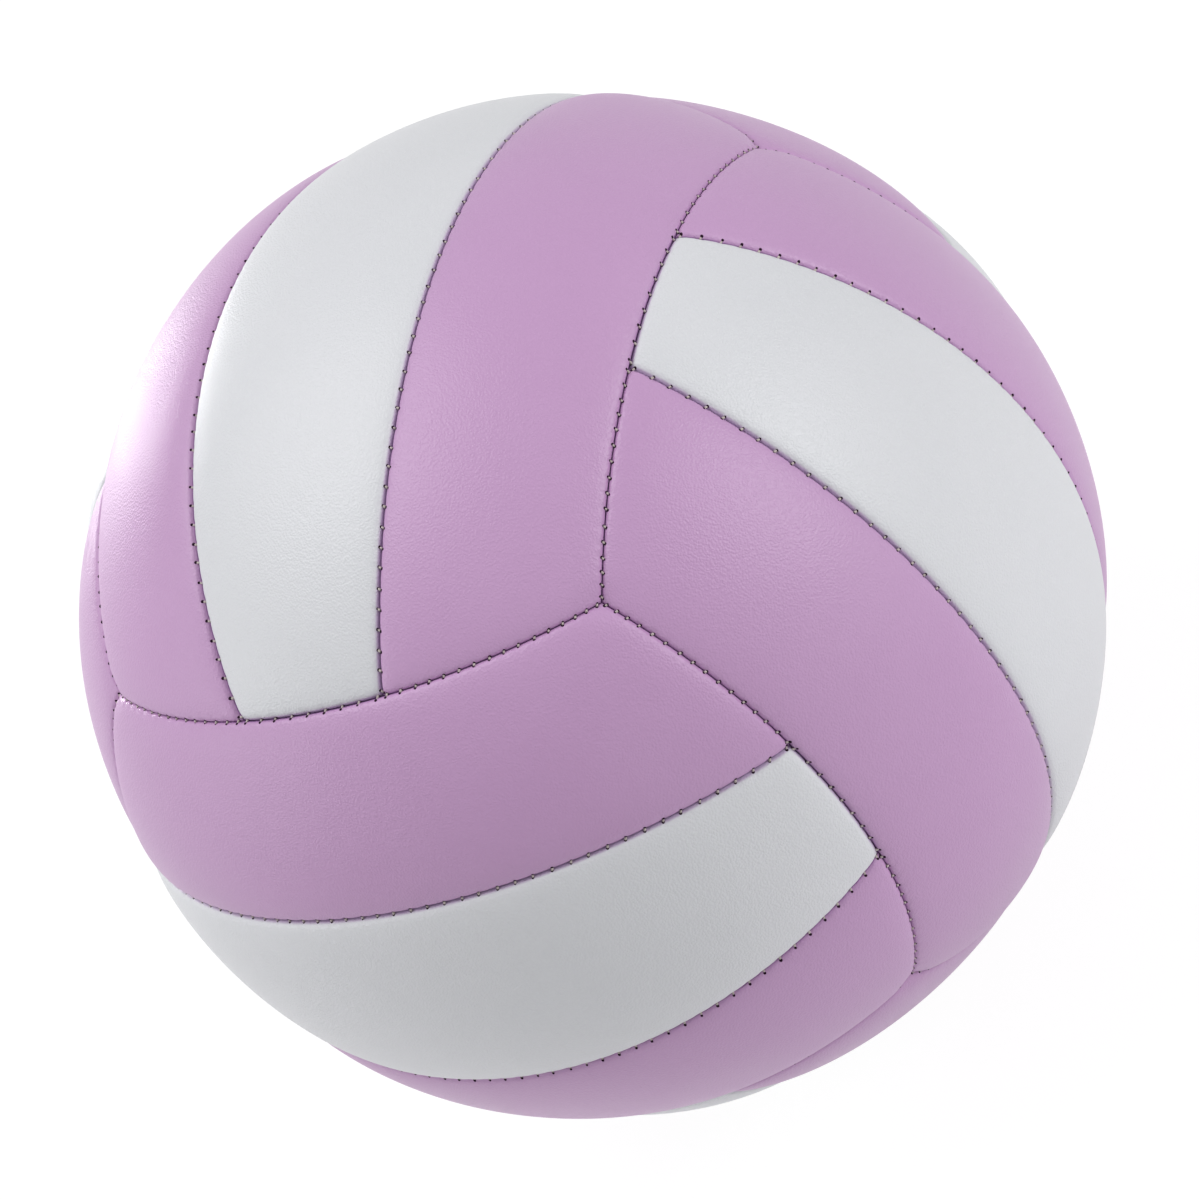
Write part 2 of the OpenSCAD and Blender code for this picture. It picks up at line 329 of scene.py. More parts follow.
# Yarns pass over and under each other.
yarn_turn = 2 * math.pi / 0.5    # radians for each mm, for yarns 0.5 mm apart
warp = add_node(tree, "ShaderNodeMath", {0: width, 1: yarn_turn}, operation="MULTIPLY")
weft = add_node(tree, "ShaderNodeMath", {0: length, 1: yarn_turn}, operation="MULTIPLY")
warp = add_node(tree, "ShaderNodeMath", {0: warp.outputs[0]}, operation="SINE")
weft = add_node(tree, "ShaderNodeMath", {0: weft.outputs[0]}, operation="SINE")
weave = add_node(tree, "ShaderNodeMath", {0: warp.outputs[0], 1: weft.outputs[0]}, operation="MULTIPLY")
weave = add_node(tree, "ShaderNodeMapRange", {0: weave.outputs[0], 1: -1, 2: 1})
tint = add_node(tree, "ShaderNodeMix", {0: weave.outputs[0], 6: linear("#A9A69E"), 7: linear("#C9C6BD")},
                data_type="RGBA")
tree.links.new(tint.outputs[2], shader.inputs["Base Color"])
relief = add_node(tree, "ShaderNodeBump", {"Height": weave.outputs[0], "Strength": 0.6, "Distance": 0.0001})
tree.links.new(relief.outputs[0], shader.inputs["Normal"])


def lining_radius(grid):
    """The lining's outer radius over a grid of directions, the same all over."""
    return np.full(grid.shape[:2], lining_out)


for face in faces:
    for strip, place_name in zip((-1, 0, 1), faces[face][2]):
        piece = layer_block(face, strip, lining_radius, cover_in, lining_rows,
                            f"cloth_{face}_{place_name}", cloth)
        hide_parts(f"{face}_{place_name}_lining")
        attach(piece, "root")


# Foam: a pad of closed-cell foam under each skin, which gives the panel its soft, slightly crowned
# feel. Cut from sheet, with its rim eased to follow the skin's roll.
foam_out = 104.2          # outer radius of a pad, before it falls off towards its seams
foam_in = 100.9
foam_rows = (26, 76)
foam_roll = 1.3           # radius of the pad's eased rim
foam_fall = 2.4           # the most that the pad falls at its rim
# How far a panel falls, and over what reach: close to a seam, on the wide slope towards it, and round
# the valve's hole
near_fall, near_reach = 0.75, 2.5
far_fall, far_reach = 0.75, 12
valve_fall, valve_reach = 0.6, 4
most_fall = 2             # where the falls towards several seams meet


def seams_of(strip):
    """The four seams round a panel of the top face: axis of the seam's circle, its cone angle, the
    middle of the seam as seen from the axis, and the side of it that the panel is on."""
    ends = [
        ((0, -end * math.sin(edge_tilt), math.cos(edge_tilt)), edge_cone,
         (0, end * math.cos(edge_tilt), math.sin(edge_tilt)), 1) for end in (1, -1)
    ]
    strip_seam = [
        ((side * math.cos(strip_angle), 0, -math.sin(strip_angle)), math.pi / 2,
         (side * math.sin(strip_angle), 0, math.cos(strip_angle))) for side in (-1, 1)
    ]
    if strip == 0:
        return ends + [s + (-1,) for s in strip_seam]
    edge_seam = ((strip * math.cos(edge_tilt), 0, -math.sin(edge_tilt)), edge_cone,
                 (strip * math.sin(edge_tilt), 0, math.cos(edge_tilt)))
    return ends + [strip_seam[(strip + 1) // 2] + (1,), edge_seam + (-1,)]


def seam_places(grid, seam):
    """For directions, the distance in mm from a seam and the place along it from its middle."""
    axis, cone, middle, side = (np.asarray(part, dtype=float) for part in seam)
    tangent = np.cross(axis, middle)
    distance = side * (cone - np.arccos(np.clip(grid @ axis, -1, 1))) * ball_r
    place = np.arctan2(grid @ tangent, grid @ middle) * math.sin(cone) * ball_r
    return distance, place


def rolled_drop(distance, radius):
    """How far a rolled edge lies below the crown, at a distance from its side."""
    inside = np.clip(radius - distance, 0, radius)
    return radius - np.sqrt(np.maximum(radius ** 2 - inside ** 2, 0))


def crown_fall(grid, strip, valve=False):
    """How far a blown-up panel lies below its crown: it falls off towards each seam, steeply at the
    last, and dips round the valve's hole."""
    falls = 0
    if valve:
        gap = np.maximum(np.arccos(np.clip(grid[..., 2], -1, 1)) * ball_r - valve_hole_r, 0)
        falls = (valve_fall * np.exp(-(gap / valve_reach) ** 1.5)) ** 2
    for seam in seams_of(strip):
        gap = np.maximum(seam_places(grid, seam)[0], 0)
        falls = falls + (near_fall * np.exp(-gap / near_reach) + far_fall * np.exp(-gap / far_reach)) ** 2
    return np.minimum(np.sqrt(falls), most_fall)


def foam_radius(strip, valve):
    """The function that gives a pad's outer radius over a grid of directions."""
    def radius(grid):
        drops = [rolled_drop(seam_places(grid, seam)[0] - turned_in, foam_roll) for seam in seams_of(strip)]
        fall = crown_fall(grid, strip, valve) + np.sqrt(sum(d ** 2 for d in drops))
        return foam_out - np.minimum(fall, foam_fall)
    return radius


foam = bpy.data.materials.new("closed-cell polyethylene foam sheet")
foam.use_nodes = True
tree = foam.node_tree
shader = tree.nodes["Principled BSDF"]
shader.inputs["Roughness"].default_value = 0.85
shader.inputs["Subsurface Weight"].default_value = 0.15
place = add_node(tree, "ShaderNodeTexCoord").outputs["Object"]
# Cells about 0.6 mm across
cells = add_node(tree, "ShaderNodeTexVoronoi", {"Vector": place, "Scale": 1 / 0.0006},
                 feature="DISTANCE_TO_EDGE")
walls = cells.outputs["Distance"]
tint = add_node(tree, "ShaderNodeMix", {0: walls, 6: linear("#E2DED0"), 7: linear("#F5F2E9")},
                data_type="RGBA")
tree.links.new(tint.outputs[2], shader.inputs["Base Color"])
relief = add_node(tree, "ShaderNodeBump", {"Height": walls, "Strength": 0.5, "Distance": 0.0001},
                  invert=True)
tree.links.new(relief.outputs[0], shader.inputs["Normal"])

for face in faces:
    for strip, place_name in zip((-1, 0, 1), faces[face][2]):
        outer = foam_radius(strip, (face, strip) == valve_panel)
        piece = layer_block(face, strip, outer, foam_in, foam_rows, f"pad_{face}_{place_name}", foam)
        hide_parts(f"{face}_{place_name}_foam")
        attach(piece, "root")


# Cover: eighteen skins of pebbled synthetic leather, die-cut, turned in over the foam and sewn edge
# to edge. Air pressure crowns each panel, and the stitches draw its rolled edges down.
crown_r = 105.5           # outer radius of a skin, before it falls off towards its seams
skin_in = 104.3           # and the inner radius, likewise
skin_off = 0.025          # from a seam's middle to the skin's side
skin_t = 1.2              # thickness of the turned-in edge
roll_radius = {"lilac": 0.95, "white": 1.45}
white_pitch = 4.0         # between the stitches round a white panel
lilac_pitch = 3.2         # between the stitches of two lilac panels
stitch_end = 1.1          # from a seam's end to its last stitch
tight_steps = (2.2, 2.5, 2.8, 3.0)    # between the last stitches at a corner where three faces meet
stitch_pull = 0.2         # depth of the dimple at a stitch, and its reach
pull_along = 0.7
pull_across = 1.1
most_pulls = 1.2          # dimples that overlap add up to this many
corner_pull = 0.5         # depth of the pucker at a corner of the cube, and its reach
corner_reach = 3.2
mesh_across = 0.68        # size of a skin's quads across the panel
mesh_along = 0.62         # and along it, for a panel of the usual length
usual_length = 160
cavity_rows = (14, 44)    # points of the cavity's mesh across and along


def stitches_between(low, high, pitch, tight_low, tight_high):
    """Places of the stitches of a stretch of seam. Its tight ends have them closer together."""
    lows, highs = [low + stitch_end], [high - stitch_end]
    for step in tight_steps:
        if tight_low:
            lows.append(lows[-1] + step)
        if tight_high:
            highs.append(highs[-1] - step)
    count = max(1, round((highs[-1] - lows[-1]) / pitch))
    between = np.linspace(lows[-1], highs[-1], count + 1)[1:-1]
    return np.array(sorted([*lows, *between, *highs]))


# Half the length of each kind of seam, and where the strips of the next face meet a face's border
corner = np.full(3, corner_share)
edge_seam_half = abs(seam_places(corner, seams_of(1)[3])[1])
strip_end = panel_directions(0, 0, np.array([1.0]), np.array([1.0]))[0, 0]
strip_seam_half = abs(seam_places(strip_end, seams_of(1)[2])[1])
joint_place = abs(seam_places(strip_end, seams_of(0)[0])[1])
strip_stitches = stitches_between(-strip_seam_half, strip_seam_half, white_pitch, False, False)
edge_stitches = np.concatenate([
    stitches_between(-edge_seam_half, -joint_place, lilac_pitch, True, False),
    stitches_between(-joint_place, joint_place, white_pitch, False, False),
    stitches_between(joint_place, edge_seam_half, lilac_pitch, False, True),
])
stitch_stray = 0.18       # the most that a stitch is off its place
strip_stitches += np.random.default_rng(3).uniform(-stitch_stray, stitch_stray, len(strip_stitches))
edge_stitches += np.random.default_rng(4).uniform(-stitch_stray, stitch_stray, len(edge_stitches))

# Slow unevenness of the blown-up cover: waves 40 to 110 mm long in fixed random directions
wave_count = 16
wave_height = 0.05
wave_turn = 6             # usual turn of a wave over the ball's radius along each axis, in radians
waves = np.random.default_rng(18).normal(size=(3, wave_count)) * wave_turn
wave_phases = np.random.default_rng(7).uniform(0, 2 * math.pi, wave_count)


def cover_radius(grid, strip, valve=False):
    """Outer radius of the cover over directions in the top face's frame, and the distance in mm
    from the panel's side."""
    roll = roll_radius["white" if strip == 0 else "lilac"]
    rolls, pulls, nearest = 0, 0, np.full(grid.shape[:-1], 1e3)
    for k, seam in enumerate(seams_of(strip)):
        distance, place = seam_places(grid, seam)
        gap = np.maximum(distance - skin_off, 0)
        nearest = np.minimum(nearest, gap)
        rolls = rolls + rolled_drop(gap, roll) ** 2
        between_strips = k == 2 or (strip == 0 and k == 3)
        stitches = strip_stitches if between_strips else edge_stitches
        after = np.clip(np.searchsorted(stitches, place), 1, len(stitches) - 1)
        offset = np.minimum(abs(place - stitches[after - 1]), abs(place - stitches[after]))
        pulls = pulls + np.exp(-(offset / pull_along) ** 2 - (gap / pull_across) ** 2)
    wave = np.sin(grid @ waves + wave_phases).sum(axis=-1) * wave_height
    corner_gap = np.arccos(np.clip(np.abs(grid) @ corner, -1, 1)) * ball_r
    pucker = corner_pull * np.exp(-(corner_gap / corner_reach) ** 2)
    dimples = stitch_pull * np.minimum(pulls, most_pulls) + pucker
    return crown_r - np.sqrt(rolls) - crown_fall(grid, strip, valve) - dimples + wave, nearest


def spread(length, roll, step):
    """Shares of a length, closer together on the rolled edges at both ends."""
    near = [roll * (1 - math.cos(math.radians(a))) for a in (0, 14, 28, 42, 56, 72, 90)]
    near += [near[-1] + 0.4, near[-1] + 0.8, near[-1] + 1.3]
    count = round((length - 2 * near[-1]) / step)
    middle = np.linspace(near[-1], length - near[-1], count + 1)[1:-1]
    return np.concatenate([near, middle, [length - n for n in reversed(near)]]) / length


def fan_between(ring, inner):
    """Triangles between a ring with many vertices and one with few, side by side from a corner."""
    i = j = 0
    triangles = []
    while i < len(ring) - 1 or j < len(inner) - 1:
        ahead = (i + 1) / (len(ring) - 1) if i < len(ring) - 1 else 2
        behind = (j + 1) / (len(inner) - 1) if j < len(inner) - 1 else 2
        if ahead <= behind:
            triangles.append((ring[i], inner[j], ring[i + 1]))
            i += 1
        else:
            triangles.append((ring[i], inner[j], inner[j + 1]))
            j += 1
    return triangles


def sides_of(ids):
    """The four sides of a grid of vertex numbers, once round, each with both its corners."""
    return [ids[:, 0], ids[-1, :], ids[::-1, -1], ids[0, ::-1]]


def skin_piece(face, strip, name, material):
    """A skin: the dense outer surface, its turned-in sides, and the cavity that holds the foam."""
    roll = roll_radius["white" if strip == 0 else "lilac"]
    valve = (face, strip) == valve_panel
    turn = face_turn(face)
    width = (centre_width if strip == 0 else side_width) - 2 * skin_off
    across = spread(width, roll, mesh_across)
    along = spread(usual_length, roll, mesh_along) * 2 - 1
    outside = panel_directions(strip, skin_off, across, along)
    radius, nearest = cover_radius(outside, strip, valve)
    ids = np.arange(radius.size).reshape(radius.shape)
    places = [(outside * radius[..., None]).reshape(-1, 3)]
    edge = [nearest.reshape(-1)]
    polygons = [quads_of(ids)]
    ring = loop_of(ids)
    rim = outside.reshape(-1, 3)[ring]
    rim_radius = radius.reshape(-1)[ring]
    cavity_across, cavity_along = np.linspace(0, 1, cavity_rows[0]), np.linspace(-1, 1, cavity_rows[1])
    cavity_rim = panel_directions(strip, skin_off + skin_t, across, along).reshape(-1, 3)[ring]
    start = radius.size
    # Rings of the turned-in edge: partway down its outer side, at its foot, and up the foam's side
    for directions, ring_radius in (
        (rim, rim_radius * 0.6 + cover_in * 0.4),
        (rim, np.full(len(ring), cover_in)),
        (cavity_rim, np.full(len(ring), cover_in)),
        (cavity_rim, np.full(len(ring), skin_in - foam_fall)),
    ):
        new_ring = start + np.arange(len(ring))
        places.append(directions * ring_radius[:, None])
        edge.append(np.full(len(ring), -1.0))
        polygons.append(quads_between(ring, new_ring))
        ring = new_ring
        start += len(ring)
    cavity = panel_directions(strip, skin_off + skin_t + turned_in, cavity_across, cavity_along)
    inner_ids = start + np.arange(cavity[..., 0].size).reshape(cavity.shape[:2])
    places.append((cavity * (skin_in - crown_fall(cavity, strip, valve))[..., None]).reshape(-1, 3))
    edge.append(np.full(inner_ids.size, -1.0))
    polygons.append(quads_of(inner_ids)[:, [3, 2, 1, 0]])
    counts = np.cumsum([0, len(across) - 1, len(along) - 1, len(across) - 1, len(along) - 1])
    closed = np.append(ring, ring[0])
    zipped = []
    for k, inner in enumerate(sides_of(inner_ids)):
        zipped += fan_between(closed[counts[k]:counts[k + 1] + 1], inner)
    polygons.append(np.array(zipped))
    piece = make_piece(name, np.concatenate(places) @ turn.T, polygons, material)
    add_attribute(piece, "edge_mm", np.concatenate(edge))
    if valve:
        cut_valve_hole(piece)
    return piece


def pebbled_leather(name, face_colour, second_tone_colour, groove_shade_and_dirt_tone, groove_shade_width):
    """Polyurethane leather: a satin film with a printed pebble grain. Near its sides, in a band as many mm
    wide as the last argument, and down its turned-in wall, it turns to the third colour: painted shade of
    the seam's groove with a little handling dirt, and on the white panels also a painted purple reflection
    of the lilac neighbour. The pebbles' valleys take a little of the same painted shade."""
    leather = bpy.data.materials.new(name)
    leather.use_nodes = True
    tree = leather.node_tree
    shader = tree.nodes["Principled BSDF"]
    shader.inputs["IOR"].default_value = 1.48
    place = add_node(tree, "ShaderNodeTexCoord").outputs["Object"]
    edge = add_node(tree, "ShaderNodeAttribute", attribute_name="edge_mm").outputs["Fac"]
    # Pebbles 0.5 mm across, of uneven shape
    bent = add_node(tree, "ShaderNodeTexNoise", {"Vector": place, "Scale": 900, "Detail": 1})
    swirl = add_node(tree, "ShaderNodeVectorMath", {0: bent.outputs["Color"], "Scale": 0.0005},
                     operation="SCALE")
    grain_place = add_node(tree, "ShaderNodeVectorMath", {0: place, 1: swirl.outputs[0]})
    pebbles = add_node(tree, "ShaderNodeTexVoronoi", {"Vector": grain_place.outputs[0], "Scale": 1 / 0.0005})
    # Cloudy tone of the dyed film, over about 30 mm
    clouds = add_node(tree, "ShaderNodeTexNoise", {"Vector": place, "Scale": 33, "Detail": 3})
    tint = add_node(tree, "ShaderNodeMix",
                    {0: clouds.outputs[0], 6: linear(second_tone_colour), 7: linear(face_colour)},
                    data_type="RGBA")
    # Painted shade in the pebbles' valleys: up to a twentieth of the way to the seam's shade colour
    valley_shade = add_node(tree, "ShaderNodeMapRange",
                      {0: pebbles.outputs["Distance"], 1: 0.3, 2: 0.9, 3: 0, 4: 0.05})
    tint = add_node(tree, "ShaderNodeMix",
                    {0: valley_shade.outputs[0], 6: tint.outputs[2], 7: linear(groove_shade_and_dirt_tone)},
                    data_type="RGBA")
    # Painted shade of the seam's groove, with a little handling dirt: near the panel's side and down its
    # turned-in wall the colour turns to the third colour, which on the white panels is also a painted purple
    # reflection of the lilac neighbour
    painted_groove_shade = add_node(tree, "ShaderNodeMapRange", {0: edge, 1: 0.5 * groove_shade_width, 2: groove_shade_width, 3: 1, 4: 0})
    tint = add_node(tree, "ShaderNodeMix",
                    {0: painted_groove_shade.outputs[0], 6: tint.outputs[2], 7: linear(groove_shade_and_dirt_tone)},
                    data_type="RGBA")
    tree.links.new(tint.outputs[2], shader.inputs["Base Color"])
    gloss = add_node(tree, "ShaderNodeMapRange", {0: clouds.outputs[0], 1: 0.3, 2: 0.7, 3: 0.35, 4: 0.44})
    tree.links.new(gloss.outputs[0], shader.inputs["Roughness"])
    fine = add_node(tree, "ShaderNodeTexNoise", {"Vector": place, "Scale": 2600, "Detail": 2})
    domes = add_node(tree, "ShaderNodeMapRange", {0: pebbles.outputs["Distance"], 1: 0.05, 2: 0.85},
                     interpolation_type="SMOOTHSTEP")
    height = add_node(tree, "ShaderNodeMath", {0: fine.outputs[0], 1: 0.3, 2: domes.outputs[0]},
                      operation="MULTIPLY_ADD")
    relief = add_node(tree, "ShaderNodeBump",
                      {"Height": height.outputs[0], "Strength": 0.4, "Distance": 0.00014}, invert=True)
    tree.links.new(relief.outputs[0], shader.inputs["Normal"])
    return leather


# In each leather the third colour is painted shade for the seams' grooves and the pebbles' valleys, with a
# little handling dirt; the white leather's purple one is also a painted reflection of the lilac panels. The
# last number is the width in mm of the painted band along the seams.
leathers = {
    "lilac": pebbled_leather("lilac pebbled polyurethane leather", "#CBA3CD", "#C49AC6", "#A47AAE", 0.14),
    "white": pebbled_leather("white pebbled polyurethane leather", "#E3E4E8", "#DDDFE3", "#C6B5D0", 0.75),
}
for face in faces:
    for strip, place_name in zip((-1, 0, 1), faces[face][2]):
        tone = "white" if strip == 0 else "lilac"
        piece = skin_piece(face, strip, f"panel_{face}_{place_name}", leathers[tone])
        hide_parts(f"{face}_{place_name}_skin")
        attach(piece, "root")


# Stitches: a twisted polyester thread, machine-sewn from panel to panel through needle holes on
# either side of each seam. Each visible stitch is a short slanting loop over the gap.
thread_width = 0.5
hole_width = 0.68
# From a panel's side to the middle of a needle hole, by the seam's number in seams_of: the seams
# along a white strip are punched further in.
hole_gaps = {2: 0.44, 3: 0.32}


def every_stitch():
    """Every stitch: its direction from the ball's middle, the direction along its seam, and how far
    its needle holes are from the panels' sides."""
    found = []
    for face in faces:
        turn = face_turn(face)
        for side in (-1, 1):
            for k, stitches in ((2, strip_stitches), (3, edge_stitches)):
                axis, cone, middle, _ = seams_of(side)[k]
                axis, middle = np.array(axis), np.array(middle)
                tangent = np.cross(axis, middle)
                angles = stitches / ball_r / math.sin(cone)
                for angle in angles:
                    ahead = math.cos(angle) * tangent - math.sin(angle) * middle
                    spoke = math.cos(angle) * middle + math.sin(angle) * tangent
                    out = math.cos(cone) * axis + math.sin(cone) * spoke
                    found.append((turn @ out, turn @ ahead, hole_gaps[k]))
    return found


def panel_at(direction):
    """The strip that a direction falls on, with the direction in that face's own frame."""
    for face in faces:
        local = face_turn(face).T @ direction
        for strip in (-1, 0, 1):
            if all(seam_places(local, seam)[0] > 0 for seam in seams_of(strip)):
                return strip, local
    return None


hole_slant = 0.2          # a hole's place along the seam, from its stitch
hole_lean = 0.8           # how far a hole faces the seam, on the rolled edge
stitch_points, stitch_along, stitch_out = [], [], []
hole_points, hole_out = [], []
for out, ahead, hole_gap in every_stitch():
    sideways = np.cross(out, ahead)
    radii = []
    for side in (-1, 1):
        aim = out * ball_r + sideways * side * (skin_off + hole_gap) + ahead * side * hole_slant
        aim = aim / np.linalg.norm(aim)
        spot = panel_at(aim)
        if spot is None:
            continue
        radius = float(cover_radius(spot[1][None], spot[0])[0][0])
        radii.append(radius)
        lean = out - sideways * side * hole_lean
        hole_points.append(aim * radius)
        hole_out.append(lean / np.linalg.norm(lean))
    if radii:
        stitch_points.append(out * (sum(radii) / len(radii)))
        stitch_along.append(ahead)
        stitch_out.append(out)


def point_cloud(name, points, directions):
    """A mesh of loose points in mm, with directions on them for the node tree to read."""
    mesh = bpy.data.meshes.new(name)
    mesh.from_pydata((np.array(points) / 1000).tolist(), [], [])
    for attribute_name, values in directions.items():
        attribute = mesh.attributes.new(attribute_name, "FLOAT_VECTOR", "POINT")
        attribute.data.foreach_set("vector", np.array(values, dtype=np.float32).ravel())
    cloud = bpy.data.objects.new(name, mesh)
    bpy.context.scene.collection.objects.link(cloud)
    return cloud


def tree_with(name, inputs):
    """A node tree for geometry with named inputs for sizes, in metres."""
    tree = bpy.data.node_groups.new(name, "GeometryNodeTree")
    tree.interface.new_socket("Geometry", in_out="INPUT", socket_type="NodeSocketGeometry")
    for label, default in inputs.items():
        socket = tree.interface.new_socket(label, in_out="INPUT", socket_type="NodeSocketFloat")
        socket.default_value = default
    tree.interface.new_socket("Geometry", in_out="OUTPUT", socket_type="NodeSocketGeometry")
    return tree


def baked(cloud, tree, sizes, name, material):
    """Runs a tree on a cloud of points and returns the result as a plain mesh object, with the
    tree's material in its only slot."""
    modifier = cloud.modifiers.new("build", "NODES")
    modifier.node_group = tree
    for item in tree.interface.items_tree:
        if item.in_out == "INPUT" and item.name in sizes:
            modifier[item.identifier] = sizes[item.name]
    evaluated = cloud.evaluated_get(bpy.context.evaluated_depsgraph_get())
    mesh = bpy.data.meshes.new_from_object(evaluated)
    mesh.name = name
    mesh.materials.clear()
    mesh.materials.append(material)
    mesh.polygons.foreach_set("material_index", [0] * len(mesh.polygons))
    cloud.modifiers.clear()
    bpy.data.objects.remove(cloud)
    piece = bpy.data.objects.new(name, mesh)
    bpy.context.scene.collection.objects.link(piece)
    return piece


thread = bpy.data.materials.new("twisted polyester sewing thread")
thread.use_nodes = True
tree = thread.node_tree
shader = tree.nodes["Principled BSDF"]
shader.inputs["Roughness"].default_value = 0.6
shader.inputs["Sheen Weight"].default_value = 0.3
place = add_node(tree, "ShaderNodeTexCoord").outputs["Object"]
# Plies and fuzz, about 0.25 mm apart, mixed between a pale thread colour and a dark brown that is painted
# shade of the groove and of the loops' folds
plies = add_node(tree, "ShaderNodeTexNoise", {"Vector": place, "Scale": 4000, "Detail": 2})
tint = add_node(tree, "ShaderNodeMix", {0: plies.outputs[0], 6: linear("#7E6A60"), 7: linear("#F0EAE3")},
                data_type="RGBA")
tree.links.new(tint.outputs[2], shader.inputs["Base Color"])
relief = add_node(tree, "ShaderNodeBump", {"Height": plies.outputs[0], "Strength": 0.5, "Distance": 0.00008})
tree.links.new(relief.outputs[0], shader.inputs["Normal"])

punched = bpy.data.materials.new("shaded needle hole in leather")
punched.use_nodes = True
tree = punched.node_tree
shader = tree.nodes["Principled BSDF"]
shader.inputs["Roughness"].default_value = 0.9
shader.inputs["Specular IOR Level"].default_value = 0.1
place = add_node(tree, "ShaderNodeTexCoord").outputs["Object"]
# Torn film and fluff in the hole's own shade: a dark purple without gloss, uneven over 0.3 mm
fray = add_node(tree, "ShaderNodeTexNoise", {"Vector": place, "Scale": 3000, "Detail": 2})
tint = add_node(tree, "ShaderNodeMix", {0: fray.outputs[0], 6: linear("#180C16"), 7: linear("#3C2438")},
                data_type="RGBA")
tree.links.new(tint.outputs[2], shader.inputs["Base Color"])

# The stitch tree: an arc of thread on each point, across the seam and slanting along it. Its ends lie
# end_depth below the point, and its middle Rise above it: here a little below, so it is half sunk.
stitch_sizes = {"Thread": thread_width / 1000, "Reach": 0.00034, "Slant": 0.00014, "Rise": -0.00009}
end_depth = 0.0004
tree = tree_with("stitches across a seam", stitch_sizes)
source = add_node(tree, "NodeGroupInput")
slanted = add_node(tree, "ShaderNodeCombineXYZ", {0: source.outputs["Slant"], 1: source.outputs["Reach"],
                                                  2: -end_depth})
opposite = add_node(tree, "ShaderNodeVectorMath", {0: slanted.outputs[0], 1: (-1, -1, 1)},
                    operation="MULTIPLY")
peak = add_node(tree, "ShaderNodeMath", {0: source.outputs["Rise"], 1: 2.0, 2: end_depth},
                operation="MULTIPLY_ADD")
summit = add_node(tree, "ShaderNodeCombineXYZ", {0: 0.0, 1: 0.0, 2: peak.outputs[0]})
arc = add_node(tree, "GeometryNodeCurveQuadraticBezier",
               {"Resolution": 8, "Start": opposite.outputs[0], "Middle": summit.outputs[0],
                "End": slanted.outputs[0]})
half_thread = add_node(tree, "ShaderNodeMath", {0: source.outputs["Thread"], 1: 0.5}, operation="MULTIPLY")
outline = add_node(tree, "GeometryNodeCurvePrimitiveCircle",
                   {"Resolution": 6, "Radius": half_thread.outputs[0]})
loop = add_node(tree, "GeometryNodeCurveToMesh",
                {"Curve": arc.outputs[0], "Profile Curve": outline.outputs[0], "Fill Caps": True})
along = add_node(tree, "GeometryNodeInputNamedAttribute", {"Name": "along"}, data_type="FLOAT_VECTOR")
outward = add_node(tree, "GeometryNodeInputNamedAttribute", {"Name": "outward"}, data_type="FLOAT_VECTOR")
turned = add_node(tree, "FunctionNodeAxesToRotation",
                  {"Primary Axis": outward.outputs[0], "Secondary Axis": along.outputs[0]},
                  primary_axis="Z", secondary_axis="X")
wobble = add_node(tree, "FunctionNodeRandomValue", {2: 0.82, 3: 1.12, "Seed": 5}, data_type="FLOAT")
placed = add_node(tree, "GeometryNodeInstanceOnPoints",
                  {"Points": source.outputs[0], "Instance": loop.outputs[0],
                   "Rotation": turned.outputs[0], "Scale": wobble.outputs[1]})
real = add_node(tree, "GeometryNodeRealizeInstances", {"Geometry": placed.outputs[0]})
smooth = add_node(tree, "GeometryNodeSetShadeSmooth", {"Geometry": real.outputs[0]})
painted = add_node(tree, "GeometryNodeSetMaterial", {"Geometry": smooth.outputs[0], "Material": thread})
add_node(tree, "NodeGroupOutput", {0: painted.outputs[0]})
cloud = point_cloud("stitch places", stitch_points, {"along": stitch_along, "outward": stitch_out})
stitches = baked(cloud, tree, stitch_sizes, "stitches", thread)
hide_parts("seam_thread")
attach(stitches, "root")

# The holes tree: a low dark cap where the thread goes down through each skin, painted shade laid in place of
# the hole's depth
hole_sizes = {"Width": hole_width / 1000, "Height": 0.00012}
tree = tree_with("needle holes", hole_sizes)
source = add_node(tree, "NodeGroupInput")
half_hole = add_node(tree, "ShaderNodeMath", {0: source.outputs["Width"], 1: 0.5}, operation="MULTIPLY")
cap = add_node(tree, "GeometryNodeMeshUVSphere", {"Segments": 8, "Rings": 4, "Radius": half_hole.outputs[0]})
squat = add_node(tree, "ShaderNodeMath", {0: source.outputs["Height"], 1: half_hole.outputs[0]},
                 operation="DIVIDE")
flat = add_node(tree, "ShaderNodeCombineXYZ", {0: 1.0, 1: 1.0, 2: squat.outputs[0]})
cap = add_node(tree, "GeometryNodeTransform", {"Geometry": cap.outputs[0], "Scale": flat.outputs[0]})
outward = add_node(tree, "GeometryNodeInputNamedAttribute", {"Name": "outward"}, data_type="FLOAT_VECTOR")
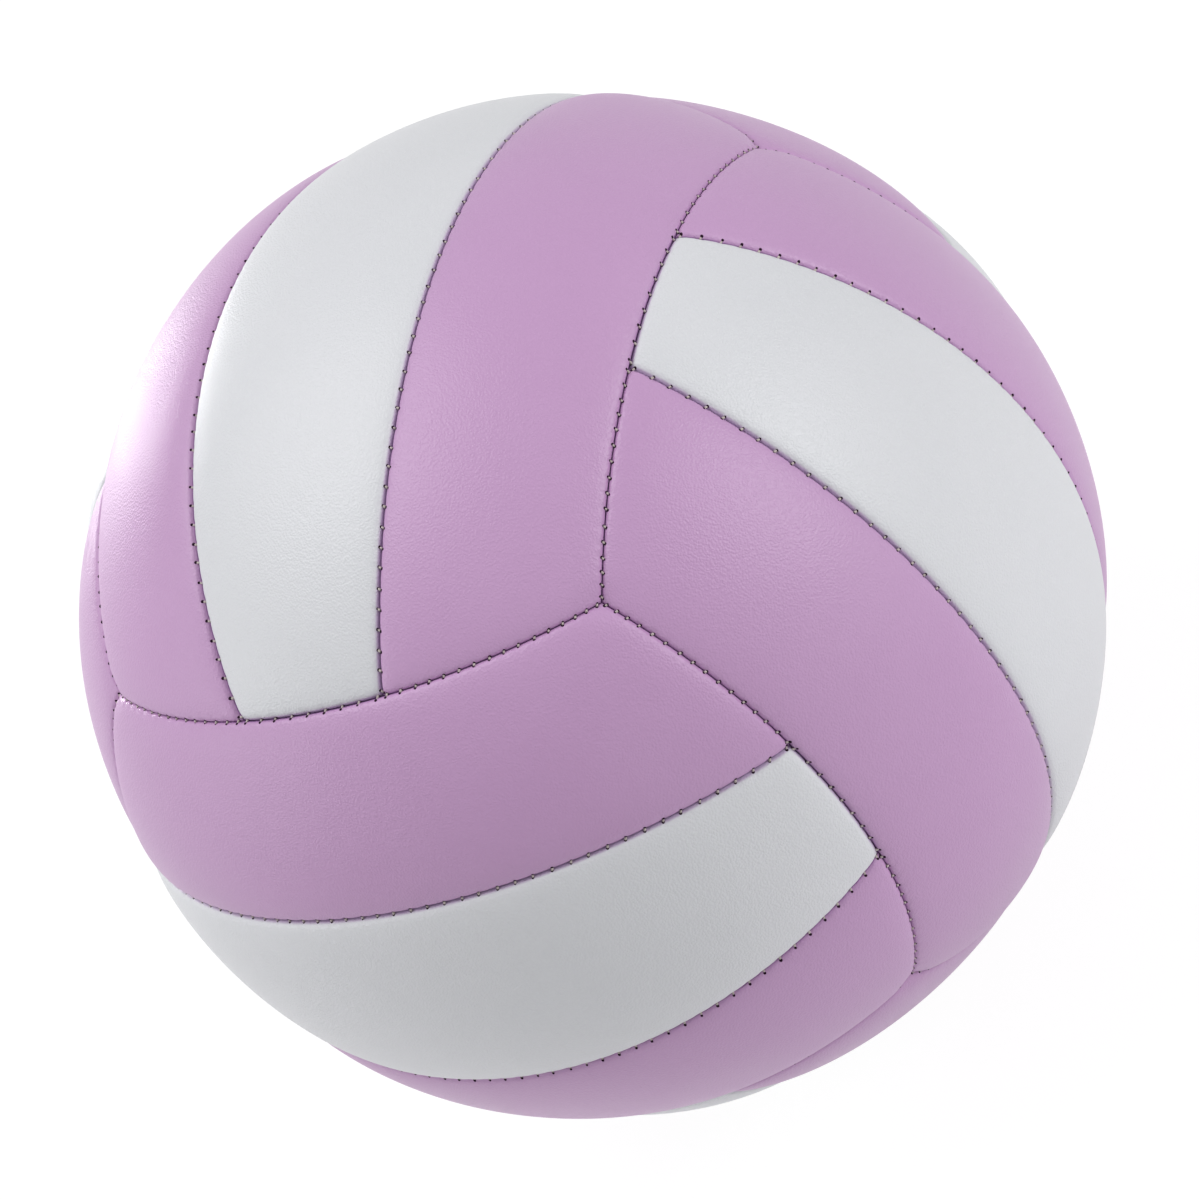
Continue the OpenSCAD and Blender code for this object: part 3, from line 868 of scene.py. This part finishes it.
turned = add_node(tree, "FunctionNodeAlignRotationToVector", {"Vector": outward.outputs[0]}, axis="Z")
wobble = add_node(tree, "FunctionNodeRandomValue", {2: 0.8, 3: 1.15, "Seed": 11}, data_type="FLOAT")
placed = add_node(tree, "GeometryNodeInstanceOnPoints",
                  {"Points": source.outputs[0], "Instance": cap.outputs[0],
                   "Rotation": turned.outputs[0], "Scale": wobble.outputs[1]})
real = add_node(tree, "GeometryNodeRealizeInstances", {"Geometry": placed.outputs[0]})
smooth = add_node(tree, "GeometryNodeSetShadeSmooth", {"Geometry": real.outputs[0]})
painted = add_node(tree, "GeometryNodeSetMaterial", {"Geometry": smooth.outputs[0], "Material": punched})
add_node(tree, "NodeGroupOutput", {0: painted.outputs[0]})
cloud = point_cloud("hole places", hole_points, {"outward": hole_out})
holes = baked(cloud, tree, hole_sizes, "needle_holes", punched)
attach(holes, "root")


# Valve: a moulded rubber seat bonded inside the bladder, with a softer core that seals on the
# inflating needle. Only the nipple's rim and the core's head show, in the back face's white panel.
moulded = bpy.data.materials.new("compression-moulded nitrile rubber")
moulded.use_nodes = True
tree = moulded.node_tree
shader = tree.nodes["Principled BSDF"]
shader.inputs["Roughness"].default_value = 0.55
shader.inputs["IOR"].default_value = 1.52
place = add_node(tree, "ShaderNodeTexCoord").outputs["Object"]
# Mould texture of about 0.3 mm, and faint bloom over about 6 mm
bloom = add_node(tree, "ShaderNodeTexNoise", {"Vector": place, "Scale": 160, "Detail": 3})
tint = add_node(tree, "ShaderNodeMix", {0: bloom.outputs[0], 6: linear("#1C1C1E"), 7: linear("#343437")},
                data_type="RGBA")
tree.links.new(tint.outputs[2], shader.inputs["Base Color"])
texture = add_node(tree, "ShaderNodeTexNoise", {"Vector": place, "Scale": 3300, "Detail": 2})
relief = add_node(tree, "ShaderNodeBump",
                  {"Height": texture.outputs[0], "Strength": 0.3, "Distance": 0.00008})
tree.links.new(relief.outputs[0], shader.inputs["Normal"])
for name in ("valve_seat", "valve_core"):
    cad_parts[name].data.materials.clear()
    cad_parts[name].data.materials.append(moulded)
